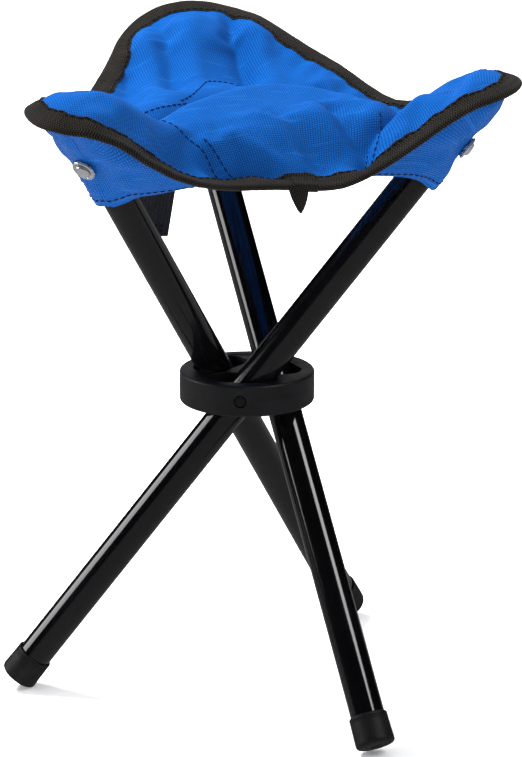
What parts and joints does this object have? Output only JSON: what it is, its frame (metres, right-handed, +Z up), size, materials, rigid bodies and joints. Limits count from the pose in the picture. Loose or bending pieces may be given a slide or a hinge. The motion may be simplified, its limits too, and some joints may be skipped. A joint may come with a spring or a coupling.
{
  "type": "camp stool",
  "caption": "Folding tripod camp stool with crossed tube legs, a round pivot hub, rubber feet and a bound three-cornered fabric seat.",
  "frame": {"origin": "bottom centre of the open stool's bounding box, on the ground", "axes": "+Z up, +Y towards the back corner of the seat, +X towards the right corner's side"},
  "size_m": [0.2316, 0.2442, 0.3119],
  "materials": {
    "leg_paint": "gloss black enamel",
    "hub_plastic": "satin moulded plastic",
    "cap_rubber": "matte rubber",
    "pin_steel": "plain steel",
    "rivet_chrome": "bright plated",
    "seat_fabric": "coated ribbed oxford cloth",
    "binding_tape": "woven polyester tape"
  },
  "bodies": {
    "hub": {"hub": "hub_plastic", "pivot_pin_right": "pin_steel", "pivot_pin_back": "pin_steel", "pivot_pin_left": "pin_steel", "seat_panel": "seat_fabric", "edge_binding": "binding_tape"},
    "leg_right": {"leg_tube_right": "leg_paint", "foot_cap_right": "cap_rubber", "top_plug_right": "hub_plastic", "seat_rivet_right": "rivet_chrome", "rivet_washer_right": "rivet_chrome", "corner_pocket_right": "seat_fabric"},
    "leg_back": {"leg_tube_back": "leg_paint", "foot_cap_back": "cap_rubber", "top_plug_back": "hub_plastic", "seat_rivet_back": "rivet_chrome", "rivet_washer_back": "rivet_chrome", "corner_pocket_back": "seat_fabric"},
    "leg_left": {"leg_tube_left": "leg_paint", "foot_cap_left": "cap_rubber", "top_plug_left": "hub_plastic", "seat_rivet_left": "rivet_chrome", "rivet_washer_left": "rivet_chrome", "corner_pocket_left": "seat_fabric", "storage_strap": "binding_tape"}
  },
  "joints": [
    {"name": "fold_right", "type": "hinge", "parent": "hub", "child": "leg_right", "pos_m": [-0.00495, -0.02257, 0.15102], "axis": [-0.3774, -0.926, 0], "range_deg": [0, 33], "deforming": ["corner_pocket_right", "seat_panel", "edge_binding"]},
    {"name": "fold_back", "type": "hinge", "parent": "hub", "child": "leg_back", "pos_m": [0.01598, -0.00632, 0.15102], "axis": [0.9907, 0.1361, 0], "range_deg": [0, 33], "deforming": ["corner_pocket_back"]},
    {"name": "fold_left", "type": "hinge", "parent": "hub", "child": "leg_left", "pos_m": [-0.00856, 0.00369, 0.15102], "axis": [-0.6132, 0.7899, 0], "range_deg": [0, 33], "deforming": ["corner_pocket_left"]}
  ],
  "couplings": [
    {"joint": "fold_back", "follows": "fold_right", "ratio": 1},
    {"joint": "fold_left", "follows": "fold_right", "ratio": 1}
  ]
}
